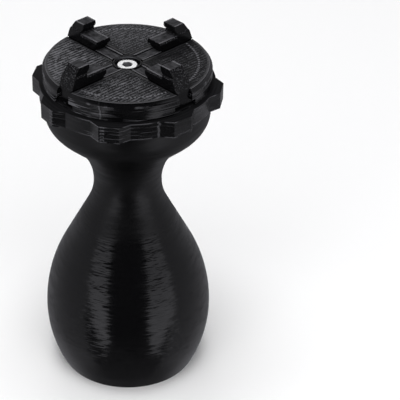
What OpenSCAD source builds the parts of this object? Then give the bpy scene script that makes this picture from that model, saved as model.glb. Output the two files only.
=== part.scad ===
// Painting handle for miniatures: a turned grip carries a self-centring chuck.
// A lobed scroll ring turns under a slotted plate and drives four hooked jaws
// in or out together, so that they hold a round figure base by its edge.

/* [Grip] */
// Height of the grip, from the table to the rim of its bowl
grip_h = 101.4; // [92:0.2:112]
// Radius of the flat foot
foot_r = 23; // [19:0.2:25]
// Radius of the belly at its widest
belly_r = 27.9; // [26:0.1:31]
// Height of the belly's widest ring above the table
belly_z = 20.5; // [17:0.5:27]
// Radius of the neck at its narrowest
neck_r = 11.15; // [8.5:0.05:13]
// Height of the narrowest ring of the neck above the table
neck_z = 70.3; // [66:0.1:75]
// Radius of the bowl where its wall turns upright
bowl_r = 26.8; // [25:0.1:28]
// Height of the upright wall of the bowl, up to the rim
bowl_wall_h = 4.4; // [3.6:0.2:7]
// Radius of the rim that the scroll ring runs on
rim_r = 26.8; // [26:0.1:28]

/* [Scroll ring] */
// Height of the lobed rim
ring_h = 5.6; // [4.6:0.2:7]
// Radius of the rim between the lobes
ring_r = 28.1; // [27.7:0.1:28.8]
// How far the lobes stand out from the rim
lobe_h = 2.4; // [1.2:0.1:3]
// Number of lobes
lobe_n = 8; // [6:1:10]
// Width of one lobe's outer face, in degrees
lobe_deg = 12; // [8:1:14]
// Width of one lobe's slanted flank, in degrees
flank_deg = 7; // [4:0.5:9]
// How far the first lobe is turned from the first jaw, in degrees
lobe_turn = -8; // [-20:0.5:20]
// Distance between the turns of the spiral ridge
scroll_pitch = 4; // [3.6:0.1:4.4]
// Width of the spiral ridge
ridge_w = 1.4; // [1.1:0.1:1.6]

/* [Jaw plate] */
// Radius of the plate
plate_r = 26.95; // [26.7:0.05:28]
// Height of the plate's side wall
plate_h = 5.8; // [5.6:0.1:7]
// Thickness of the skirt that runs round the scroll
skirt_wall = 0.75; // [0.7:0.05:1.2]
// Height of the bevel on the top edge
bevel_h = 1.2; // [0.6:0.1:1.6]
// Radial width of the bevel on the top edge
bevel_w = 0.9; // [0.4:0.1:1.2]
// Depth of the narrow upper part of each slot
slot_neck_h = 3.6; // [3:0.1:3.8]
// Radius of the collar round the screw
collar_r = 4.85; // [4.75:0.05:5.2]
// Radius of the hub that the scroll ring turns on
hub_r = 4.5; // [4.35:0.05:4.7]

/* [Jaws] */
// Width of the jaw's foot in the narrow part of the slot
foot_w = 4.8; // [4.2:0.1:5.2]
// Width of the foot's flanges under the slot's lips
flange_w = 8; // [7:0.1:8.6]
// Thickness of the flanges
flange_t = 1; // [0.9:0.05:1.1]
// Height of the teeth under the foot
tooth_h = 1; // [0.8:0.05:1.1]
// Thickness of one tooth at its middle
tooth_t = 1.3; // [1:0.05:1.4]
// Width of the jaw above the plate
jaw_w = 6.2; // [5.4:0.1:6.8]
// Height of the jaw's step above the plate
step_h = 3.3; // [2.9:0.1:3.9]
// Height of the hook's top above the plate
hook_h = 7; // [6.4:0.1:7.8]
// Distance of the jaw's front tip from the axis, closed
front_r = 11.5; // [10.6:0.1:12.2]
// How far the notch cuts back under the front tip
notch_d = 1.2; // [0.8:0.1:1.6]
// Length of the step, from the front tip to the hook's nose
step_l = 6.5; // [5.9:0.1:6.8]
// Length of the hook's top face
hook_l = 3.8; // [3.5:0.1:4.2]
// Width of the hook's top face
hook_w = 5.2; // [4.4:0.1:5.8]

/* [Screw] */
// Radius of the screw's head
head_r = 3.5; // [3.2:0.05:3.5]
// Height of the screw's head
head_h = 4; // [3.5:0.1:4.2]
// Width of the hexagon socket across its flats
socket_af = 3; // [2.5:0.5:3]
// Radius of the screw's shank
shank_r = 1.98; // [1.9:0.02:2]
// Length of the screw's shank
shank_l = 16; // [14:1:18]
// How deep the top of the head lies under the plate's face
head_sink = 0.8; // [0.6:0.1:1.6]

/* [Hidden] */
$fn = 128;
jaw_n = 4;

// Clearances, one for each kind of fit
run_fit = 0.08;     // hub in the ring's bore, measured on the radius
seat_gap = 0.2;     // ring over the grip's rim
skirt_gap = 0.4;    // plate's skirt over the ring's rim
slide_fit = 0.15;   // jaws and ring under the plate
slot_fit = 0.3;     // jaw in its slot, on each side
scroll_gap = 0.15;  // ridge and teeth, over and under each other
key_fit = 0.15;     // hub's key in the grip's socket, on each side
head_fit = 0.6;     // screw's head in its recess, on the radius
thread_fit = 0.07;  // shank in the insert, on the radius
cut = 1;            // overrun of the cutting shapes

// Levels from the table upwards
ring_z = grip_h + seat_gap;
ring_top = ring_z + ring_h;
plate_z = ring_top + skirt_gap;
plate_top = plate_z + plate_h;
flange_top = plate_top - slot_neck_h - slide_fit;
flange_z = flange_top - flange_t;
tooth_z = flange_z - tooth_h;
ridge_top = flange_z - scroll_gap;
floor_z = tooth_z - scroll_gap;
head_top = plate_top - head_sink;
head_z = head_top - head_h;

black_plastic = [0.09, 0.09, 0.10];
graphite_plastic = [0.13, 0.13, 0.14];
steel = [0.78, 0.79, 0.80];
brass = [0.80, 0.64, 0.32];

function polar(r, a) = [r * cos(a), r * sin(a)];
function arc(c, r, a0, a1, n) = [for (i = [0:n]) c + polar(r, a0 + (a1 - a0) * i / n)];

// Radius sum of two arcs that join directly between two upright tangents
function s_radius(dr, dz) = (dr * dr + dz * dz) / (2 * dr);
// Slope at which a belly arc at a and a neck arc at b share one tangent line
function s_angle(a, b, r_sum) = let (d = b - a) atan2(d[1], d[0]) - acos(r_sum / norm(d));

// Shares of the direct radius sum, which leave a short straight between the arcs
belly_arc_share = 0.64;
neck_arc_share = 0.24;
flare_arc_share = 0.66;
bowl_arc_share = 0.275;
arc_steps = 18;

module grip() {
    foot_arc_r = s_radius(belly_r - foot_r, belly_z);
    s_low = s_radius(belly_r - neck_r, neck_z - belly_z);
    r1 = belly_arc_share * s_low;
    r2 = neck_arc_share * s_low;
    c1 = [belly_r - r1, belly_z];
    c2 = [neck_r + r2, neck_z];
    low = s_angle(c1, c2, r1 + r2);
    bowl_z = grip_h - bowl_wall_h;
    s_up = s_radius(bowl_r - neck_r, bowl_z - neck_z);
    r3 = flare_arc_share * s_up;
    r4 = bowl_arc_share * s_up;
    c3 = [neck_r + r3, neck_z];
    c4 = [bowl_r - r4, bowl_z];
    up = -s_angle([c4[0], -c4[1]], [c3[0], -c3[1]], r3 + r4);
    foot_a = asin(belly_z / foot_arc_r);
    outline = concat(
        [[0, 0]],
        arc([belly_r - foot_arc_r, belly_z], foot_arc_r, -foot_a, 0, arc_steps),
        arc(c1, r1, low / arc_steps, low, arc_steps),
        arc(c2, r2, 180 + low, 180 + low / arc_steps, arc_steps),
        [[neck_r, neck_z]],
        arc(c3, r3, 180 + up / arc_steps, 180 + up, arc_steps),
        arc(c4, r4, up, up / arc_steps, arc_steps),
        [[bowl_r, bowl_z], [rim_r, grip_h], [0, grip_h]]);
    color(black_plastic) difference() {
        rotate_extrude() polygon(outline);
        translate([0, 0, key_z]) key_shape(key_fit, key_h + cut);
        translate([0, 0, key_z - insert_l - cut]) cylinder(r = insert_r, h = insert_l + cut + cut);
    }
}

// Square key under the hub, with its corners cut back to the hub's round
key_h = 4;
key_z = grip_h - key_h;
key_share = 0.72;
key_w = 2 * hub_r * key_share;
module key_shape(fit, h) {
    linear_extrude(h) intersection() {
        square(key_w + 2 * fit, center = true);
        circle(r = hub_r + fit);
    }
}

// Brass thread that is melted into the grip below the key's socket
insert_r = 2.8;
insert_l = 8;
insert_groove = 0.4;
insert_band_share = 0.25;
module threaded_insert() {
    z0 = key_z - insert_l;
    bore_r = shank_r + thread_fit;
    band = insert_band_share * insert_l;
    color(brass) translate([0, 0, z0]) rotate_extrude() polygon([
        [bore_r, 0], [insert_r - insert_groove, 0], [insert_r, insert_groove],
        [insert_r, insert_l / 2 - band / 2], [insert_r - insert_groove, insert_l / 2 - band / 4],
        [insert_r - insert_groove, insert_l / 2 + band / 4], [insert_r, insert_l / 2 + band / 2],
        [insert_r, insert_l], [bore_r, insert_l]]);
}

// The scroll: its ridge starts at the skirt and winds in to the hub, so that a turn
// to the left from above drives the jaws outwards by one pitch
disc_r = plate_r - skirt_wall - slide_fit;
ridge_out_r = disc_r - ridge_w / 2;
ridge_in_r = hub_r + run_fit + ridge_w;
scroll_deg = 360 * (ridge_out_r - ridge_in_r) / scroll_pitch;
scroll_step = 8;
tooth_in_r = hub_r + slide_fit + slide_fit + tooth_t / 2;
scroll_start = 360 * (tooth_in_r + scroll_pitch / 2 - ridge_out_r) / scroll_pitch;
function ridge_edge(side) = [for (i = [0:floor(scroll_deg / scroll_step)])
    let (a = i * scroll_step)
    polar(ridge_out_r - scroll_pitch * a / 360 + side * ridge_w / 2, scroll_start + a)];
function reversed(list) = [for (i = [len(list) - 1:-1:0]) list[i]];

// One lobe and the round rim that follows it, going round by equal angles
valley_steps = 6;
function lobe_points(mid) = concat(
    [polar(ring_r, mid - lobe_deg / 2 - flank_deg), polar(ring_r + lobe_h, mid - lobe_deg / 2),
     polar(ring_r + lobe_h, mid + lobe_deg / 2)],
    [for (i = [0:valley_steps - 1])
        polar(ring_r, mid + lobe_deg / 2 + flank_deg
            + i * (360 / lobe_n - lobe_deg - 2 * flank_deg) / valley_steps)]);

module scroll_ring() {
    lobes = [for (k = [0:lobe_n - 1]) each lobe_points(lobe_turn + k * 360 / lobe_n)];
    color(graphite_plastic) difference() {
        union() {
            translate([0, 0, ring_z]) linear_extrude(ring_h) polygon(lobes);
            translate([0, 0, ring_z]) cylinder(r = disc_r, h = floor_z - ring_z);
            translate([0, 0, ring_z]) linear_extrude(ridge_top - ring_z)
                polygon(concat(ridge_edge(1), reversed(ridge_edge(-1))));
        }
        translate([0, 0, ring_z - cut]) cylinder(r = hub_r + run_fit, h = ridge_top - ring_z + 2 * cut);
    }
}

// Cutter for one slot: narrow above, wide below, with a round end at the collar
module slot_cutter() {
    neck_w = foot_w + 2 * slot_fit;
    wide = flange_w + 2 * slot_fit;
    difference() {
        translate([0, -neck_w / 2, plate_z - cut]) cube([plate_r + cut, neck_w, plate_h + 2 * cut]);
        translate([0, 0, plate_z - 2 * cut]) cylinder(r = collar_r, h = plate_h + 4 * cut);
    }
    translate([flange_in_r - slide_fit, -wide / 2, plate_z - cut])
        cube([plate_r + cut, wide, flange_top + slide_fit - plate_z + cut]);
}

// Groove that sets the collar off from the plate's top face
groove_w = 0.3;
groove_h = 0.5;

module jaw_plate() {
    recess_r = plate_r - skirt_wall;
    color(graphite_plastic) difference() {
        union() {
            rotate_extrude() polygon([
                [0, ring_z - seat_gap], [hub_r, ring_z - seat_gap], [hub_r, flange_z],
                [recess_r, flange_z], [recess_r, plate_z], [plate_r, plate_z],
                [plate_r, plate_top - bevel_h], [plate_r - bevel_w, plate_top], [0, plate_top]]);
            translate([0, 0, key_z]) key_shape(0, key_h + cut);
        }
        translate([0, 0, head_z]) cylinder(r = head_r + head_fit, h = head_h + head_sink + cut);
        translate([0, 0, key_z - cut]) cylinder(r = shank_r + thread_fit, h = plate_top - key_z);
        translate([0, 0, plate_top - groove_h]) rotate_extrude() polygon([
            [collar_r - groove_w, 0], [collar_r, 0], [collar_r, groove_h + cut],
            [collar_r - groove_w, groove_h + cut]]);
        for (k = [0:jaw_n - 1]) rotate(k * 360 / jaw_n) slot_cutter();
    }
}

// Foot sizes that follow the plate
foot_inset = 1.3;
foot_in_r = collar_r + slide_fit;
foot_out_r = plate_r - foot_inset;
flange_in_r = 7.2;
rail_w = 0.8;
rail_h = 0.35;

// Side outline of the jaw above the plate: a notch under the front tip, the step, a slanted
// throat under the hook's nose, and the hook's sloped back
notch_z = 0.7;
tip_t = 1.5;
tip_edge = 0.15;
nose_cut = 0.2;
nose_h = 1.3;
throat_d = 1.5;
throat_edge = 0.3;
shoulder_d = 2.1;
shoulder_h = 2.8;
function step_outline() = [
    [front_r + notch_d, 0], [front_r + notch_d, notch_z], [front_r, step_h - tip_t],
    [front_r, step_h - tip_edge], [front_r + tip_edge, step_h],
    [front_r + step_l + throat_d, step_h], [front_r + step_l + throat_d, 0]];
function hook_outline() =
    let (nose_r = front_r + step_l, back_r = nose_r + nose_cut + hook_l)
    [[nose_r + throat_d - throat_edge, 0], [nose_r + throat_d - throat_edge, step_h],
     [nose_r + throat_d, step_h + throat_edge], [nose_r, hook_h - nose_h],
     [nose_r, hook_h - nose_cut], [nose_r + nose_cut, hook_h], [back_r, hook_h],
     [back_r + shoulder_d, hook_h - shoulder_h], [foot_out_r, 0]];

// Outlines across the jaw: drawn in towards the slot, with a ledge round the hook
edge_bevel = 0.5;
ledge_h = 0.6;
function step_section() = [[foot_w / 2, 0], [jaw_w / 2, edge_bevel],
    [jaw_w / 2, step_h - edge_bevel], [jaw_w / 2 - edge_bevel, step_h]];
function hook_section() = [[foot_w / 2, 0], [jaw_w / 2, edge_bevel],
    [jaw_w / 2, step_h + ledge_h], [hook_w / 2, step_h + ledge_h + jaw_w / 2 - hook_w / 2],
    [hook_w / 2, hook_h]];
module across(points, l) {
    rotate([90, 0, 90]) linear_extrude(l) polygon(concat(
        points, reversed([for (p = points) [-p[0], p[1]]])));
}
module along(points) {
    translate([0, jaw_w, 0]) rotate([90, 0, 0]) linear_extrude(2 * jaw_w) polygon(points);
}

module jaw(k) {
    first = tooth_in_r + ((jaw_n - k) % jaw_n) * scroll_pitch / jaw_n;
    teeth = floor((foot_out_r - tooth_t - first) / scroll_pitch);
    color(black_plastic) rotate(k * 360 / jaw_n) {
        // Foot with its flanges and the two rails on its open front end
        difference() {
            union() {
                translate([0, -foot_w / 2, flange_z]) cube([foot_out_r, foot_w, plate_top - flange_z]);
                translate([flange_in_r, -flange_w / 2, flange_z])
                    cube([foot_out_r - flange_in_r, flange_w, flange_t]);
            }
            translate([0, 0, flange_z - cut]) cylinder(r = foot_in_r, h = plate_top - flange_z + 2 * cut);
            translate([0, rail_w - foot_w / 2, plate_top - rail_h])
                cube([front_r + notch_d, foot_w - 2 * rail_w, rail_h + cut]);
        }
        // Teeth, each with faces that clear the ridge near the hub and near the skirt
        for (j = [0:teeth]) translate([first + j * scroll_pitch, 0, tooth_z])
            linear_extrude(tooth_h) tooth_shape();
        // Step and hook
        translate([0, 0, plate_top]) {
            intersection() {
                along(step_outline());
                across(step_section(), plate_r);
            }
            intersection() {
                along(hook_outline());
                across(hook_section(), plate_r);
            }
        }
    }
}

module tooth_shape() {
    near_r = tooth_in_r + scroll_pitch / 2;
    far_r = ridge_out_r;
    intersection() {
        square([2 * tooth_t + scroll_pitch, foot_w], center = true);
        difference() {
            translate([tooth_t / 2 - near_r, 0]) circle(r = near_r);
            translate([-tooth_t / 2 - far_r, 0]) circle(r = far_r);
        }
        translate([0, -foot_w]) square(2 * foot_w);
    }
}

module clamp_screw() {
    head_edge = 0.4;
    socket_h = head_h / 2;
    color(steel) difference() {
        rotate_extrude() polygon([
            [0, head_z - shank_l], [shank_r - head_edge, head_z - shank_l],
            [shank_r, head_z - shank_l + head_edge], [shank_r, head_z], [head_r, head_z],
            [head_r, head_top - head_edge], [head_r - head_edge, head_top], [0, head_top]]);
        translate([0, 0, head_top - socket_h])
            cylinder(d = socket_af / cos(30), h = socket_h + cut, $fn = 6);
    }
}

grip();
threaded_insert();
scroll_ring();
jaw_plate();
jaw(0);  // jaw_1
jaw(1);  // jaw_2
jaw(2);  // jaw_3
jaw(3);  // jaw_4
clamp_screw();
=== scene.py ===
# Looks of a painting handle: printed black plastic, a bright screw, plain studio light.
import bpy
import bmesh
import math
import numpy as np
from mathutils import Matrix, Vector


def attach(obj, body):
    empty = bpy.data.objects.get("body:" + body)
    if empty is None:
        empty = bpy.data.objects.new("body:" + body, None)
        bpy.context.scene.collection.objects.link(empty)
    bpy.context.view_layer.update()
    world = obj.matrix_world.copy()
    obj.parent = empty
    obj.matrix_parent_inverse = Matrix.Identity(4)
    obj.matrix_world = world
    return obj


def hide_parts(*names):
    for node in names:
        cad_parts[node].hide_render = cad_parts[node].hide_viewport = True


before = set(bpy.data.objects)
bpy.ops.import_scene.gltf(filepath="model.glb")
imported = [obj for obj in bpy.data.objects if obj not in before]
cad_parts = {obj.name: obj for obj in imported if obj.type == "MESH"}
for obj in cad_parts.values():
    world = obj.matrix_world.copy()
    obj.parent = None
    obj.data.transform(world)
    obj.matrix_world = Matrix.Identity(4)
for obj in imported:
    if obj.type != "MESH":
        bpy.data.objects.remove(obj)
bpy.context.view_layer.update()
print("frame loaded")

# all lengths are in metres
mm = 0.001

# Camera. Azimuths are in degrees round the object from the slot along +X.
view = {
    "azimuth": -42,              # where the camera stands
    "pitch": 33.393,             # how far it looks down
    "distance": 566.55 * mm,
    "aimHeight": 61.315 * mm,
    "lens": 153.55,
    "axisPixel": 127.8,          # the handle's axis in a picture of this width
    "pictureWidth": 400,
    "roll": 0.2,
    "clip": (0.01, 50),
}

# Studio. Facing is the cosine of the compass angle from the camera's side, and rise the sine of
# the elevation, both of the direction that the gloss mirrors.
studio = {
    "frontGlow": 0.02,           # strength on the camera's side
    "sideGlow": 0.31,            # beside the handle
    "backGlow": 0.22,            # behind it
    "lowGlow": 0.09,             # and from the table below
    "sideFacing": (0.62, 0.48),  # from one facing to the other, front turns into side
    "backFacing": (-0.60, -0.95),          # and side into back
    # from one rise to the other, and the shares of the glow at both
    "sideTop": (0.55, 0.85, 1.0, 0.30),
    "backTop": (0.10, 0.45, 1.0, 0.25),
    "foot": (-0.78, -0.96, 1.0, 0.35),
    "lowRise": (-0.35, -0.75),   # where the table's glow comes in
    "glowColour": (0.98, 0.975, 1.04, 1),
    "paleBackground": (0.93, 0.93, 0.935, 1),
    "floorColour": (0.90, 0.90, 0.90, 1),
    "floorRoughness": 0.9,
    "floorShine": 0.1,
    "floorSize": 6.0,
    "panelDistance": 0.95,
    "panelHeights": (-0.50, 0.45),         # from one height over the aim to the other
    "panelShares": (1.12, 0.72),           # the panels' light changes by these shares
}

lamps = {
    # name: azimuth from the camera, elevation, distance, width, height, watts, seen in the gloss
    "backSoftbox": (184, 35, 0.95, 0.34, 0.25, 0.62, True),
    "ceilingFill": (-125, 87, 1.80, 1.15, 1.15, 23.0, False),
    "frontFill": (-4, 42, 1.40, 2.00, 1.40, 18.0, False),
}

# two tall panels of soft light beside the camera: brightness, then corners as azimuth and elevation
panels = {
    "leftPanel": (1.15, [(-33, 23), (-28, 0), (-26, -18), (-29, -42), (-36, -35), (-43, -24),
                         (-51, -12), (-58, 3), (-66, 14)]),
    "rightPanel": (0.95, [(38, 27), (29, 10), (27, -18), (34, -42), (43, -42), (51, -31),
                          (61, -22), (66, -10), (68, 15), (58, 23)]),
}

# Printed plastic. A wall shows its layers as rows, a top face shows the paths that fill it.
printing = {
    "colour": (0.0022, 0.0022, 0.0025),
    "paleMarkAndGlintColour": (0.118, 0.118, 0.128),   # pale marks of the print, and painted sheen, glints and highlights
    "refraction": 1.46,
    "layer": 0.28 * mm,
    "path": 1.24 * mm,
    "beadTilt": 0.03,            # slope of a layer's rounded edge
    "rowTilt": 0.27,             # change of that slope from row to row
    "groupTilt": 0.09,           # and from one group of layers to the next
    "rowTurn": 0.21,             # how far a row wanders sideways by itself
    "waveTurn": 0.10,            # and together with its neighbours
    "groupRough": 0.2,
    "flatUp": (0.90, 0.97),      # upward part of the normal where wall turns into top face
    "wallUp": 0.5,               # below this a face is a wall
    "bevelUp": 0.75,             # and below this a wall or a bevel
    "topDepth": 0.05 * mm,
    "grainDepth": 0.004 * mm,
    "grain": (2600.0, 2.0),      # changes per metre, and detail
}

# noises that follow the layers: changes per metre along a layer and per metre of height, and detail
layerNoises = {
    "row": (35.0, 2700.0, 1.0),
    "group": (60.0, 1150.0, 2.0),
    "stray": (260.0, 3000.0, 1.0),
    "rowTurn": (110.0, 2100.0, 1.0),
    "waveTurn": (45.0, 420.0, 2.0),
    "glintStreak": (110.0, 2000.0, 2.0),
    "edge": (240.0, 1.0, 2.0),
}

# Marks on the walls: some that printing leaves, and pale lines painted as glints and highlights.
# A pair of widths says where a line starts and stops to fade, away from its middle; a pair of levels
# does the same for a noise.
seamMark = {"layers": 3, "shift": 7.1, "jitter": 2.4 * mm, "width": (0.15 * mm, 0.55 * mm),
            "height": 0.10 * mm, "pale": 0.35}
rungMark = {"layers": 4, "beads": (0.45, 0.85), "width": (0.9 * mm, 0.5 * mm),
            "grainFade": (0.35, 0.6), "pale": 0.45}
# pale streaks painted on some layers of the walls as glints
glintStreakMark = {"level": (0.09, 0.17), "across": (0.0, 20.0 * mm)}    # they change from one x to the other
# painted highlight lines along a wall's first and last layers
edgeHighlightMark = {"width": (0.42 * mm, 0.22 * mm), "fade": 0.16, "pale": 0.40}
slopeMark = {"fromUp": (0.15, 0.4), "toUp": (0.75, 0.95), "grain": (2100.0, 2.0),
             "level": (0.52, 0.68), "pale": 0.30}
strayMark = {"level": (0.04, 0.2), "heights": (9 * mm, 20 * mm), "tilt": 0.40}

# What a printed piece has when its own dictionary doesn't say otherwise
plainLook = {
    "unevenness": 1.0,           # how much of the tilts above its walls show
    "lift": 0.0,                 # how far all its walls seem to lean upwards
    "shine": 0.5,
    "shoulder": (),              # heights between which the skin turns dull and even
    "seams": (),                 # azimuths of its seams, and of its ladders of marks painted pale as glints
    "rungs": (),
    "glintStreaks": (),                # strength of the painted glint streaks at both ends of glintStreakMark's range
    "moreGlintStreaks": (0.0, 0.0),    # and how many more there are
    "roughSlope": 0.0,           # depth of the crumbs on its slopes
}

# The grip is turned round its axis from the CAD's outer profile, smoothed
grip = {
    **plainLook,
    "roughness": 0.17,
    "shoulder": (53 * mm, 59 * mm),
    "shoulderRough": 0.24,       # how much rougher it is over the shoulder
    "shoulderCalm": 0.90,        # and which share of the tilts is gone there
    "rows": 420,
    "columns": 160,
    "smoothing": 1.2 * mm,
    "profileFrom": 9 * mm,       # points nearer to the axis aren't part of the outer profile
    "socketRadius": 4.65 * mm,
    "insertRadius": 2.8 * mm,
    "socketDepth": 4.0 * mm,
    "insertDepth": 13.0 * mm,
    "sharpAngle": 35,
    "samePoint": 1e-6,           # points this close are merged
    "footRing": 0.5,             # one more ring of faces on the foot, at this share of its radius
}

plate = {
    **plainLook,
    "roughness": 0.20,
    "unevenness": 4.0,
    "lift": 0.03,
    "seams": (-60,),
    "glintStreaks": (0.70, 0.25),
    "moreGlintStreaks": (0.07, 0.0),
    "edgeRadius": 26.9 * mm,     # walls outside it have broken painted highlight lines at top and bottom
    "highlightGaps": 0.04,            # more of it, longer gaps
}

plateFace = {
    "rim": 26.0 * mm,
    "slotHalf": 2.75 * mm,
    "border": 0.8 * mm,          # two smooth paths follow each edge, painted pale as a highlight
    "borderHighlight": 0.14,
    "borderRough": 0.34,
    # a pale line along the rim, a painted highlight
    "rimLine": (0.45 * mm, 0.15 * mm),
    "rimHighlight": 0.30,
    "fillRough": 0.60,
    "lineShift": 3.1,            # each path starts its breaks somewhere else
    "breakScale": 420.0,
    "breaks": 3.6,
    "linePale": 0.62,
    "density": 0.76,             # share of pale lines, a painted sheen, and how the quarters' painted light and shade change it
    "leftPaintedLight": 0.50,
    "rightPaintedShade": -0.55,
    # painted shade: fewer pale lines towards the slots
    "paintedSlotShade": (0.0, 6.0 * mm, 0.30, 1.0),
    "crossing": (0.25, 0.7),     # on the back quarter: share of the crossing paths and of the others
    "turnRadius": 22.6 * mm,     # where the paths turn back in a row of dots, painted pale as glints
    "turnWidth": (0.20 * mm, 0.45 * mm),
    "turnBeads": (0.6, 0.95),
    "turnGlint": 0.8,
    "glintSpeckSize": 0.42 * mm,
    "glintSpeckLevel": (0.17, 0.23),
    "glintSpeckPale": 2.4,
    "collarRadius": 4.95 * mm,   # painted shade: black gaps round the collar and beside the slots
    "collarGapShade": (0.25 * mm, 0.45 * mm),
    "slotGapShade": (0.2 * mm, 0.5 * mm),
}

ring = {
    **plainLook,
    "roughness": 0.20,
    "unevenness": 1.8,
    "lift": -0.21,
    "shine": 0.38,
    "seams": (-22,),
    "rungs": (-93, -57),
    "glintStreaks": (0.20, 0.20),
    "edgeRadius": 27.0 * mm,
    "highlightGaps": -0.08,
}

# the top faces of ring and grip
roundFace = {"baseRough": 0.5, "lineRough": 0.1, "linePale": 0.04}

jaw = {
    **plainLook,
    "roughness": 0.22,
    "unevenness": 0.45,
    "shine": 0.28,
    "roughSlope": 0.30 * mm,
}

jawFace = {
    "halfWidth": 2.6 * mm,
    "edgePath": (0.55 * mm, 0.75 * mm),    # one smooth path along each long edge, painted pale as a highlight
    "edgePathHighlight": 0.56,
    "pathShare": 0.4,            # its paths are narrower than the plate's
    "rowShift": 5.3,
    "breakScale": 400.0,
    "fillSheen": 0.23,
    "fillRough": 0.50,
}

screw = {
    "colour": (0.74, 0.74, 0.75),
    "roughness": 0.27,
    "scratch": 0.004 * mm,
    "socketRadius": 1.9 * mm,    # inside the socket and below this height it is painted dark and not metallic, a painted shade
    "socketHeights": (112.5 * mm, 112.2 * mm),
    "socketShadeColour": (0.11, 0.11, 0.12),
    "grain": (3000.0, 3.0),
    "grainRough": 0.15,
}

insert = {
    "colour": (0.75, 0.56, 0.27),
    "roughness": 0.3,
    "scratch": 0.006 * mm,
    "grain": (3000.0, 3.0),
    "grainRough": 0.15,
}

# Plate, ring, jaws and screw keep the CAD's shape: points this close are merged, faces within the
# flat angle joined, and edges over the sharp angle eased
easing = {"samePoint": 2e-6, "flatAngle": 0.4, "sharpAngle": 28, "width": 0.10 * mm, "steps": 2}


def around(azimuth, elevation, distance, height=0.0):
    turn, rise = math.radians(azimuth), math.radians(elevation)
    flat = distance * math.cos(rise)
    return Vector((flat * math.cos(turn), flat * math.sin(turn), height + distance * math.sin(rise)))


def linkedObject(name, data):
    made = bpy.data.objects.new(name, data)
    bpy.context.scene.collection.objects.link(made)
    return made


def aimAtHandle(thing):
    aim = Vector((0, 0, view["aimHeight"]))
    thing.rotation_euler = (aim - thing.location).to_track_quat("-Z", "Y").to_euler()


def makeCamera():
    camera = linkedObject("photoCamera", bpy.data.cameras.new("photoCamera"))
    camera.location = around(view["azimuth"], view["pitch"], view["distance"], view["aimHeight"])
    aimAtHandle(camera)
    camera.rotation_euler.rotate_axis("Z", -math.radians(view["roll"]))
    camera.data.lens = view["lens"]
    camera.data.shift_x = 0.5 - view["axisPixel"] / view["pictureWidth"]
    camera.data.clip_start, camera.data.clip_end = view["clip"]
    bpy.context.scene.camera = camera


def addNode(tree, kind, inputs=None, **settings):
    made = tree.nodes.new("ShaderNode" + kind)
    for key, value in settings.items():
        setattr(made, key, value)
    for key, value in (inputs or {}).items():
        if isinstance(value, bpy.types.NodeSocket):
            tree.links.new(value, made.inputs[key])
        else:
            made.inputs[key].default_value = value
    return made.outputs


def calc(tree, operation, *values):
    return addNode(tree, "Math", dict(enumerate(values)), operation=operation)[0]


def vectorCalc(tree, operation, *values):
    return addNode(tree, "VectorMath", dict(enumerate(values)), operation=operation)


def ramp(tree, value, low, high, lowOut=0.0, highOut=1.0):
    # smooth step from lowOut to highOut while value goes from low to high
    inputs = {"Value": value, "From Min": low, "From Max": high, "To Min": lowOut, "To Max": highOut}
    return addNode(tree, "MapRange", inputs, interpolation_type="SMOOTHSTEP")["Result"]


def mixed(tree, share, first, second):
    return addNode(tree, "Mix", {"Factor": share, "A": first, "B": second})["Result"]


def freshTree(owner):
    owner.use_nodes = True
    owner.node_tree.nodes.clear()
    return owner.node_tree


def makeWorld():
    world = bpy.data.worlds.new("studio")
    bpy.context.scene.world = world
    tree = freshTree(world)
    direction = addNode(tree, "TexCoord")["Generated"]
    compass = vectorCalc(tree, "MULTIPLY", direction, (1, 1, 0))[0]
    compass = vectorCalc(tree, "NORMALIZE", compass)[0]
    facing = vectorCalc(tree, "DOT_PRODUCT", compass, around(view["azimuth"], 0, 1))["Value"]
    rise = addNode(tree, "SeparateXYZ", {0: direction})["Z"]
    side = ramp(tree, facing, *studio["sideFacing"], studio["frontGlow"], studio["sideGlow"])
    side = calc(tree, "MULTIPLY", side, ramp(tree, rise, *studio["sideTop"]))
    back = calc(tree, "MULTIPLY", ramp(tree, rise, *studio["backTop"]), studio["backGlow"])
    level = mixed(tree, ramp(tree, facing, *studio["backFacing"]), side, back)
    level = calc(tree, "MULTIPLY", level, ramp(tree, rise, *studio["foot"]))
    below = ramp(tree, rise, *studio["lowRise"], 0.0, studio["lowGlow"])
    glow = calc(tree, "MAXIMUM", level, below)
    # the camera sees a plain pale background, and everything else the glow
    seen = addNode(tree, "LightPath")["Is Camera Ray"]
    glowing = addNode(tree, "Background", {"Color": studio["glowColour"], "Strength": glow})[0]
    pale = addNode(tree, "Background", {"Color": studio["paleBackground"], "Strength": 1.0})[0]
    both = addNode(tree, "MixShader", {0: seen, 1: glowing, 2: pale})[0]
    addNode(tree, "OutputWorld", {"Surface": both})


def makeFloor():
    half = studio["floorSize"] / 2
    mesh = bpy.data.meshes.new("floor")
    corners = [(-half, -half, 0), (half, -half, 0), (half, half, 0), (-half, half, 0)]
    mesh.from_pydata(corners, [], [(0, 1, 2, 3)])
    floor = linkedObject("floor", mesh)
    floor.visible_glossy = False
    paint = bpy.data.materials.new("paleFloor")
    tree = freshTree(paint)
    shader = addNode(tree, "BsdfPrincipled", {"Base Color": studio["floorColour"],
                                              "Roughness": studio["floorRoughness"],
                                              "Specular IOR Level": studio["floorShine"]})[0]
    addNode(tree, "OutputMaterial", {"Surface": shader})
    mesh.materials.append(paint)


def makeLamp(name, turn, elevation, distance, width, height, watts, glossy):
    light = bpy.data.lights.new(name, "AREA")
    light.shape, light.size, light.size_y, light.energy = "RECTANGLE", width, height, watts
    box = linkedObject(name, light)
    box.location = around(view["azimuth"] + turn, elevation, distance, view["aimHeight"])
    aimAtHandle(box)
    box.visible_camera, box.visible_glossy = False, glossy


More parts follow.
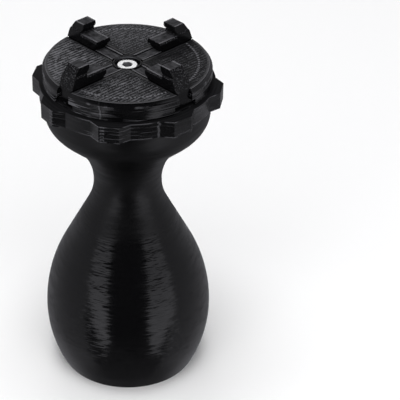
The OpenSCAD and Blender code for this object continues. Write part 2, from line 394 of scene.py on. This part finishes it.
def makePanel(name, brightness, corners):
    points = [around(view["azimuth"] + turn, elevation, studio["panelDistance"], view["aimHeight"])
              for turn, elevation in corners]
    last = len(corners)
    points.append(sum(points, Vector()) / last)
    mesh = bpy.data.meshes.new(name)
    mesh.from_pydata([tuple(point) for point in points], [],
                     [(k, (k + 1) % last, last) for k in range(last)])
    sheet = linkedObject(name, mesh)
    sheet.visible_camera, sheet.visible_shadow = False, False
    glow = bpy.data.materials.new(name)
    tree = freshTree(glow)
    # a panel is brighter low down; height is metres over the camera's aim
    height = addNode(tree, "SeparateXYZ", {0: addNode(tree, "TexCoord")["Object"]})["Z"]
    height = calc(tree, "SUBTRACT", height, view["aimHeight"])
    shares = [brightness * share for share in studio["panelShares"]]
    strength = ramp(tree, height, *studio["panelHeights"], *shares)
    emission = addNode(tree, "Emission", {"Color": studio["glowColour"], "Strength": strength})[0]
    addNode(tree, "OutputMaterial", {"Surface": emission})
    mesh.materials.append(glow)


def makeStudio():
    makeWorld()
    makeFloor()
    for name, values in lamps.items():
        makeLamp(name, *values)
    for name, values in panels.items():
        makePanel(name, *values)
    bpy.context.scene.view_settings.view_transform = "Standard"
    print("studio made")


def shareOfPitch(tree, place, pitch):
    return calc(tree, "FRACT", calc(tree, "DIVIDE", place, pitch))


def bead(tree, place, pitch):
    # rounded bead across one pitch: 4 share (1 - share), with the share of the pitch passed
    share = shareOfPitch(tree, place, pitch)
    rest = calc(tree, "SUBTRACT", 1.0, share)
    return calc(tree, "MULTIPLY", calc(tree, "MULTIPLY", share, rest), 4.0)


def rowNumber(tree, place, pitch):
    return calc(tree, "FLOOR", calc(tree, "DIVIDE", place, pitch))


def radiusOf(tree, x, y):
    squares = [calc(tree, "POWER", value, 2.0) for value in (x, y)]
    return calc(tree, "SQRT", calc(tree, "ADD", *squares))


def distanceTo(tree, value, goal):
    return calc(tree, "ABSOLUTE", calc(tree, "SUBTRACT", value, goal))


def grainOf(tree, place, scale, detail):
    return addNode(tree, "TexNoise", {"Vector": place, "Scale": scale, "Detail": detail})["Fac"]


def noiseAt(tree, x, y, z, detail=2.0):
    # noise round zero, about -0.25 to 0.25
    place = addNode(tree, "CombineXYZ", {"X": x, "Y": y, "Z": z})[0]
    return calc(tree, "SUBTRACT", grainOf(tree, place, 1.0, detail), 0.5)


def layerNoise(tree, place, name):
    along, upwards, detail = layerNoises[name]
    scales = (along, along, upwards)
    scaled = [calc(tree, "MULTIPLY", value, scale) for value, scale in zip(place, scales)]
    return noiseAt(tree, *scaled, detail)


def layeredNormal(tree, place, look, dull):
    # the wall's normal: each layer tilts it up or down and turns it a little sideways
    z, unevenness = place[2], look["unevenness"]
    edge = printing["beadTilt"] * unevenness
    share = shareOfPitch(tree, z, printing["layer"])
    tilt = calc(tree, "MULTIPLY_ADD", share, 2 * edge, look["lift"] - edge)
    row, group = layerNoise(tree, place, "row"), layerNoise(tree, place, "group")
    tilt = calc(tree, "MULTIPLY_ADD", row, printing["rowTilt"] * unevenness, tilt)
    tilt = calc(tree, "MULTIPLY_ADD", group, printing["groupTilt"] * unevenness, tilt)
    if dull:
        # short bits of a row stand out on the belly; where the skin is dull, little of all this is left
        stray = ramp(tree, layerNoise(tree, place, "stray"), *strayMark["level"])
        stray = calc(tree, "MULTIPLY", stray, ramp(tree, z, *strayMark["heights"]))
        tilt = calc(tree, "MULTIPLY_ADD", stray, strayMark["tilt"], tilt)
        left = calc(tree, "MULTIPLY_ADD", dull, -look["shoulderCalm"], 1.0)
        tilt = calc(tree, "MULTIPLY", tilt, left)
    turn = calc(tree, "MULTIPLY", layerNoise(tree, place, "rowTurn"), printing["rowTurn"])
    turn = calc(tree, "MULTIPLY_ADD", layerNoise(tree, place, "waveTurn"), printing["waveTurn"], turn)
    normal = addNode(tree, "NewGeometry")["Normal"]
    sideways = vectorCalc(tree, "CROSS_PRODUCT", (0, 0, 1), normal)[0]
    moved = addNode(tree, "VectorMath", {0: sideways, "Scale": turn}, operation="SCALE")[0]
    raised = addNode(tree, "CombineXYZ", {"Z": tilt})[0]
    total = vectorCalc(tree, "ADD", vectorCalc(tree, "ADD", normal, moved)[0], raised)[0]
    return vectorCalc(tree, "NORMALIZE", total)[0], group


def besideAzimuth(tree, x, y, degrees):
    # distance sideways from the line at this azimuth, and 1 on its side of the axis
    turn = math.radians(degrees)
    across = calc(tree, "MULTIPLY_ADD", x, -math.sin(turn), calc(tree, "MULTIPLY", y, math.cos(turn)))
    outward = calc(tree, "MULTIPLY_ADD", x, math.cos(turn), calc(tree, "MULTIPLY", y, math.sin(turn)))
    return across, calc(tree, "GREATER_THAN", outward, 0.0)


def seamBlobs(tree, place, degrees):
    # a seam is a row of small blobs where each layer starts, a little out of line
    x, y, z = place
    row = rowNumber(tree, z, seamMark["layers"] * printing["layer"])
    jitter = noiseAt(tree, calc(tree, "MULTIPLY", row, seamMark["shift"]), 0.0, float(degrees), 0.0)
    across, ahead = besideAzimuth(tree, x, y, degrees)
    offset = calc(tree, "ABSOLUTE", calc(tree, "MULTIPLY_ADD", jitter, seamMark["jitter"], across))
    return calc(tree, "MULTIPLY", ramp(tree, offset, *seamMark["width"], 1.0, 0.0), ahead)


def rungLines(tree, place, grain, degrees):
    # a ladder of marks where the nozzle crossed a corner every few layers, painted pale as glints
    x, y, z = place
    across, ahead = besideAzimuth(tree, x, y, degrees)
    across = ramp(tree, calc(tree, "ABSOLUTE", across), *rungMark["width"])
    rung = ramp(tree, bead(tree, z, rungMark["layers"] * printing["layer"]), *rungMark["beads"])
    rung = calc(tree, "MULTIPLY", calc(tree, "MULTIPLY", across, ahead), rung)
    return calc(tree, "MULTIPLY", rung, ramp(tree, grain, *rungMark["grainFade"]))


def glintStreakLines(tree, place, look):
    # some layers on the walls get pale streaks painted as glints along part of the way round, more on one
    # side
    x = place[0]
    glintStreak = calc(tree, "ADD", layerNoise(tree, place, "glintStreak"),
                 ramp(tree, x, *glintStreakMark["across"], *look["moreGlintStreaks"]))
    glintStreak = ramp(tree, glintStreak, *glintStreakMark["level"])
    return calc(tree, "MULTIPLY", glintStreak, ramp(tree, x, *glintStreakMark["across"], *look["glintStreaks"]))


def edgeHighlightLines(tree, place, look, ends):
    # the first and last layers of a wall get a thin pale line painted as a highlight, broken here and there
    gaps = look["highlightGaps"]
    breaks = ramp(tree, layerNoise(tree, place, "edge"), gaps, gaps + edgeHighlightMark["fade"])
    nearest = calc(tree, "MINIMUM", *(distanceTo(tree, place[2], end) for end in ends))
    return calc(tree, "MULTIPLY", ramp(tree, nearest, *edgeHighlightMark["width"]), breaks)


def printedPlastic(name, look, topPattern, turned=0.0, ends=()):
    material = bpy.data.materials.new(name)
    tree = freshTree(material)
    coordinate = addNode(tree, "TexCoord")
    whole = coordinate["Object"]
    if turned:
        rotation = (0, 0, -math.radians(turned))
        whole = addNode(tree, "Mapping", {"Vector": whole, "Rotation": rotation})[0]
    place = tuple(addNode(tree, "SeparateXYZ", {0: whole}))
    x, y, z = place
    up = addNode(tree, "SeparateXYZ", {0: coordinate["Normal"]})["Z"]
    flatTop = ramp(tree, up, *printing["flatUp"])
    onWall = calc(tree, "LESS_THAN", up, printing["wallUp"])
    dull = ramp(tree, z, *look["shoulder"]) if look["shoulder"] else None
    normal, group = layeredNormal(tree, place, look, dull)

    # height is the relief in metres, and pale the share of the pale colour
    grain = grainOf(tree, whole, *printing["grain"])
    height = calc(tree, "MULTIPLY", grain, printing["grainDepth"])
    topHeight, topRough, topPale = topPattern(tree, x, y)
    topHeight = calc(tree, "MULTIPLY", topHeight, printing["topDepth"])
    height = calc(tree, "MULTIPLY_ADD", topHeight, flatTop, height)
    pale = calc(tree, "MULTIPLY", topPale, flatTop)
    for degrees in look["seams"]:
        blobs = seamBlobs(tree, place, degrees)
        height = calc(tree, "MULTIPLY_ADD", blobs, seamMark["height"], height)
        pale = calc(tree, "MULTIPLY_ADD", calc(tree, "MULTIPLY", blobs, onWall), seamMark["pale"], pale)
    # ladders of print marks painted pale as glints
    for degrees in look["rungs"]:
        lines = calc(tree, "MULTIPLY", rungLines(tree, place, grain, degrees), onWall)
        pale = calc(tree, "MULTIPLY_ADD", lines, rungMark["pale"], pale)
    # pale streaks painted as glints on some layers of the walls
    if look["glintStreaks"]:
        pale = calc(tree, "MULTIPLY_ADD", glintStreakLines(tree, place, look), onWall, pale)
    # painted highlights: broken pale lines along the first and last layers of the walls
    if ends:
        onEdge = calc(tree, "LESS_THAN", up, printing["bevelUp"])
        lines = calc(tree, "MULTIPLY", edgeHighlightLines(tree, place, look, ends), onEdge)
        pale = calc(tree, "MULTIPLY_ADD", lines, edgeHighlightMark["pale"], pale)
    if look["roughSlope"]:
        # slopes are stepped and stringy, between upright and flat
        slope = calc(tree, "MULTIPLY", ramp(tree, up, *slopeMark["fromUp"]),
                     ramp(tree, up, *slopeMark["toUp"], 1.0, 0.0))
        crumbs = grainOf(tree, whole, *slopeMark["grain"])
        steps = calc(tree, "MULTIPLY", crumbs, slope)
        height = calc(tree, "MULTIPLY_ADD", steps, look["roughSlope"], height)
        crumbs = calc(tree, "MULTIPLY", ramp(tree, crumbs, *slopeMark["level"]), slope)
        pale = calc(tree, "MULTIPLY_ADD", crumbs, slopeMark["pale"], pale)

    bump = addNode(tree, "Bump", {"Height": height, "Distance": 1.0, "Strength": 1.0,
                                  "Normal": normal})[0]
    gloss = calc(tree, "MULTIPLY_ADD", group, printing["groupRough"], look["roughness"])
    gloss = calc(tree, "MULTIPLY_ADD", topRough, flatTop, gloss)
    if dull:
        gloss = calc(tree, "MULTIPLY_ADD", dull, look["shoulderRough"], gloss)
    paint = addNode(tree, "MixRGB", {"Fac": pale, "Color1": (*printing["colour"], 1),
                                     "Color2": (*printing["paleMarkAndGlintColour"], 1)})[0]
    shader = addNode(tree, "BsdfPrincipled", {"Base Color": paint, "Roughness": gloss, "Normal": bump,
                                              "IOR": printing["refraction"],
                                              "Specular IOR Level": look["shine"]})[0]
    addNode(tree, "OutputMaterial", {"Surface": shader})
    return material


# Top patterns. Each returns relief, extra roughness and share of the pale colour.
def plateTop(tree, x, y):
    # straight paths along Y fill it, crossed by others on the quarter that the camera sees at the
    # back; their pale lines are a painted sheen, and its left quarter shows more of them than the others,
    # as painted light, its right quarter fewer, as painted shade
    face, path = plateFace, printing["path"]
    radius = radiusOf(tree, x, y)
    fromRim = calc(tree, "SUBTRACT", face["rim"], radius)
    nearAxis = calc(tree, "MINIMUM", calc(tree, "ABSOLUTE", x), calc(tree, "ABSOLUTE", y))
    fromSlot = calc(tree, "SUBTRACT", nearAxis, face["slotHalf"])
    border = calc(tree, "LESS_THAN", calc(tree, "MINIMUM", fromRim, fromSlot), face["border"])

    shift = calc(tree, "MULTIPLY", rowNumber(tree, x, path), face["lineShift"])
    breaks = noiseAt(tree, shift, calc(tree, "MULTIPLY", y, face["breakScale"]), 0.0)
    straight = calc(tree, "MULTIPLY_ADD", bead(tree, x, path), 2.0, -1.0)
    straight = calc(tree, "MAXIMUM", calc(tree, "MULTIPLY_ADD", breaks, face["breaks"], straight), 0.0)
    crossShare, straightShare = face["crossing"]
    crossed = calc(tree, "MULTIPLY_ADD", bead(tree, y, path), crossShare,
                   calc(tree, "MULTIPLY", straight, straightShare))
    plusX, plusY = calc(tree, "GREATER_THAN", x, 0.0), calc(tree, "GREATER_THAN", y, 0.0)
    minusX, minusY = calc(tree, "SUBTRACT", 1.0, plusX), calc(tree, "SUBTRACT", 1.0, plusY)
    backQuarter = calc(tree, "MULTIPLY", minusX, plusY)
    leftQuarter = calc(tree, "MULTIPLY", minusX, minusY)
    rightQuarter = calc(tree, "MULTIPLY", plusX, plusY)
    fill = mixed(tree, backQuarter, straight, crossed)
    density = calc(tree, "MULTIPLY_ADD", leftQuarter, face["leftPaintedLight"], face["density"])
    density = calc(tree, "MULTIPLY_ADD", rightQuarter, face["rightPaintedShade"], density)
    # painted shade: the pale lines fade towards the slots
    density = calc(tree, "MULTIPLY", density, ramp(tree, fromSlot, *face["paintedSlotShade"]))
    light = calc(tree, "MULTIPLY", calc(tree, "MULTIPLY", fill, density), face["linePale"])

    # small pale specks painted as glints, where a fine noise is high
    crumbs = noiseAt(tree, calc(tree, "DIVIDE", x, face["glintSpeckSize"]),
                     calc(tree, "DIVIDE", y, face["glintSpeckSize"]), 0.0, 0.0)
    crumbs = calc(tree, "MULTIPLY", ramp(tree, crumbs, *face["glintSpeckLevel"]), density)
    light = calc(tree, "MULTIPLY_ADD", crumbs, face["glintSpeckPale"], light)
    # the straight paths turn back in a row of dots beside the rim, painted pale as glints
    turns = ramp(tree, distanceTo(tree, radius, face["turnRadius"]), *face["turnWidth"], 1.0, 0.0)
    arc = calc(tree, "MULTIPLY", calc(tree, "ARCTAN2", y, x), face["turnRadius"])
    dots = calc(tree, "MULTIPLY", turns, ramp(tree, bead(tree, arc, path), *face["turnBeads"]))
    light = calc(tree, "MULTIPLY_ADD", dots, face["turnGlint"], light)

    # painted highlights: pale smooth paths along the edges and a pale line along the rim
    light = mixed(tree, border, light, face["borderHighlight"])
    light = calc(tree, "MULTIPLY_ADD", ramp(tree, fromRim, *face["rimLine"]), face["rimHighlight"], light)
    # painted shade: the pale lines go black in the gaps round the collar and beside the slots
    collarGapShade = ramp(tree, distanceTo(tree, radius, face["collarRadius"]), *face["collarGapShade"])
    gapShade = calc(tree, "MINIMUM", collarGapShade, ramp(tree, fromSlot, *face["slotGapShade"]))
    light = addNode(tree, "Clamp", {"Value": calc(tree, "MULTIPLY", light, gapShade)})[0]
    return fill, mixed(tree, border, face["fillRough"], face["borderRough"]), light


def jawTop(tree, x, y):
    # one smooth path along each long edge painted pale as a highlight, rough darker ones with a painted sheen
    # between them
    path = jawFace["pathShare"] * printing["path"]
    fromEdge = calc(tree, "SUBTRACT", jawFace["halfWidth"], calc(tree, "ABSOLUTE", y))
    inside = ramp(tree, fromEdge, *jawFace["edgePath"])
    shift = calc(tree, "MULTIPLY", rowNumber(tree, y, path), jawFace["rowShift"])
    fill = noiseAt(tree, calc(tree, "MULTIPLY", x, jawFace["breakScale"]), shift, 0.0)
    fill = calc(tree, "ADD", fill, jawFace["fillSheen"])
    light = addNode(tree, "Clamp", {"Value": mixed(tree, inside, jawFace["edgePathHighlight"], fill)})[0]
    return bead(tree, y, path), mixed(tree, inside, 0.0, jawFace["fillRough"]), light


def roundTop(tree, x, y):
    # paths that follow the rim round and round
    lines = bead(tree, radiusOf(tree, x, y), printing["path"])
    rough = calc(tree, "MULTIPLY_ADD", lines, roundFace["lineRough"], roundFace["baseRough"])
    return lines, rough, calc(tree, "MULTIPLY", lines, roundFace["linePale"])


def plainMetal(name, look):
    material = bpy.data.materials.new(name)
    tree = freshTree(material)
    whole = addNode(tree, "TexCoord")["Object"]
    paint, metallic = (*look["colour"], 1), 1.0
    # painted shade: dark and not metallic deep inside the socket
    if "socketRadius" in look:
        x, y, z = addNode(tree, "SeparateXYZ", {0: whole})
        inside = calc(tree, "LESS_THAN", radiusOf(tree, x, y), look["socketRadius"])
        inside = calc(tree, "MULTIPLY", inside, ramp(tree, z, *look["socketHeights"]))
        paint = addNode(tree, "MixRGB", {"Fac": inside, "Color1": paint,
                                         "Color2": (*look["socketShadeColour"], 1)})[0]
        metallic = calc(tree, "SUBTRACT", 1.0, inside)
    grain = grainOf(tree, whole, *look["grain"])
    height = calc(tree, "MULTIPLY", grain, look["scratch"])
    bump = addNode(tree, "Bump", {"Height": height, "Distance": 1.0})[0]
    gloss = calc(tree, "MULTIPLY_ADD", grain, look["grainRough"], look["roughness"])
    shader = addNode(tree, "BsdfPrincipled", {"Base Color": paint, "Metallic": metallic,
                                              "Roughness": gloss, "Normal": bump})[0]
    addNode(tree, "OutputMaterial", {"Surface": shader})
    return material


def makePiece(name, mesh, body, node, material):
    piece = linkedObject(name, mesh)
    mesh.materials.clear()
    mesh.materials.append(material)
    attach(piece, body)
    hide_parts(node)
    return piece


def smoothShaded(mesh, sharpAngle):
    mesh.polygons.foreach_set("use_smooth", np.ones(len(mesh.polygons), bool))
    mesh.set_sharp_from_angle(angle=math.radians(sharpAngle))


def revolve(name, radii, heights, columns):
    # each point of the profile goes round the axis, and the rows are joined by quads; points on
    # the axis are merged
    turn = np.linspace(0, 2 * np.pi, columns, endpoint=False)
    points = np.stack([radii[:, None] * np.cos(turn), radii[:, None] * np.sin(turn),
                       np.repeat(heights[:, None], columns, axis=1)], axis=-1)
    index = np.arange(points.size // 3).reshape(points.shape[:2])
    following = np.roll(index, -1, axis=1)
    quads = np.stack([index[:-1], following[:-1], following[1:], index[1:]], axis=-1).reshape(-1, 4)
    mesh = bpy.data.meshes.new(name)
    mesh.from_pydata(points.reshape(-1, 3).tolist(), [], quads.tolist())
    work = bmesh.new()
    work.from_mesh(mesh)
    bmesh.ops.remove_doubles(work, verts=work.verts, dist=grip["samePoint"])
    bmesh.ops.recalc_face_normals(work, faces=work.faces)
    work.to_mesh(mesh)
    work.free()
    return mesh


def gripProfile():
    # widest radius at each height of the CAD grip, smoothed with a bell-shaped weight that reaches
    # three widths: exp(-half the square of the distance over the smoothing width)
    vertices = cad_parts["grip"].data.vertices
    points = np.empty(len(vertices) * 3, np.float32)
    vertices.foreach_get("co", points)
    points = points.reshape(-1, 3).astype(float)
    radius = np.hypot(points[:, 0], points[:, 1])
    level = np.round(points[:, 2], 6)
    outer = radius > grip["profileFrom"]
    levels = np.unique(level[outer])
    widest = np.array([radius[outer & (level == height)].max() for height in levels])
    heights = np.linspace(levels[0], levels[-1], grip["rows"])
    raw = np.interp(heights, levels, widest)
    step = heights[1] - heights[0]
    reach = int(3 * grip["smoothing"] / step)
    weight = np.exp(-0.5 * (np.arange(-reach, reach + 1) * step / grip["smoothing"]) ** 2)
    padded = np.concatenate([2 * raw[0] - raw[reach:0:-1], raw, 2 * raw[-1] - raw[-2:-reach - 2:-1]])
    smooth = np.convolve(padded, weight / weight.sum(), mode="valid")
    return np.minimum(smooth, widest.max()), heights


def makeGrip(material):
    # the smoothed outer profile is closed by a flat foot and by the sockets for key and insert
    radii, heights = gripProfile()
    low, high = heights[0], heights[-1]
    socket, bore = grip["socketRadius"], grip["insertRadius"]
    socketLow, boreLow = high - grip["socketDepth"], high - grip["insertDepth"]
    footRadii, footHeights = [0.0, radii[0] * grip["footRing"]], [low, low]
    headRadii, headHeights = [socket, socket, bore, bore, 0.0], [high, socketLow, socketLow, boreLow, boreLow]
    allRadii = np.concatenate([footRadii, radii, headRadii])
    allHeights = np.concatenate([footHeights, heights, headHeights])
    mesh = revolve("gripSkin", allRadii, allHeights, grip["columns"])
    smoothShaded(mesh, grip["sharpAngle"])
    makePiece("gripSkin", mesh, "handle", "grip", material)
    print("grip made")


def cleanCopy(node):
    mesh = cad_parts[node].data.copy()
    mesh.name = node + "Skin"
    work = bmesh.new()
    work.from_mesh(mesh)
    bmesh.ops.remove_doubles(work, verts=work.verts, dist=easing["samePoint"])
    bmesh.ops.dissolve_limit(work, angle_limit=math.radians(easing["flatAngle"]), verts=work.verts,
                             edges=work.edges, use_dissolve_boundaries=False)
    work.to_mesh(mesh)
    work.free()
    for name in ("custom_normal", "sharp_face", "sharp_edge"):
        if name in mesh.attributes:
            mesh.attributes.remove(mesh.attributes[name])
    smoothShaded(mesh, easing["sharpAngle"])
    return mesh


def makeEased(name, node, body, material):
    piece = makePiece(name, cleanCopy(node), body, node, material)
    edge = piece.modifiers.new("easedEdges", "BEVEL")
    edge.width, edge.segments, edge.limit_method = easing["width"], easing["steps"], "ANGLE"
    edge.angle_limit = math.radians(easing["sharpAngle"])
    edge.harden_normals = True
    edge.use_clamp_overlap = True


def wallEnds(node, beyond):
    # lowest and highest point of the CAD piece outside the given radius
    points = [vertex.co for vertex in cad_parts[node].data.vertices]
    heights = [point.z for point in points if math.hypot(point.x, point.y) > beyond]
    return min(heights), max(heights)


makeCamera()
makeStudio()

makeGrip(printedPlastic("gripPlastic", grip, roundTop))
plateMaterial = printedPlastic("platePlastic", plate, plateTop,
                               ends=wallEnds("jaw_plate", plate["edgeRadius"]))
makeEased("plateSkin", "jaw_plate", "handle", plateMaterial)
ringMaterial = printedPlastic("ringPlastic", ring, roundTop,
                              ends=wallEnds("scroll_ring", ring["edgeRadius"]))
makeEased("ringSkin", "scroll_ring", "ring", ringMaterial)
for number, body in enumerate(("first_jaw", "second_jaw", "third_jaw", "fourth_jaw")):
    jawMaterial = printedPlastic(f"jawPlastic{number + 1}", jaw, jawTop, turned=90.0 * number)
    makeEased(f"jawSkin{number + 1}", f"jaw_{number + 1}", body, jawMaterial)
makeEased("screwSkin", "clamp_screw", "handle", plainMetal("brightZinc", screw))
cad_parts["threaded_insert"].material_slots[0].material = plainMetal("plainBrass", insert)
print("pieces made")
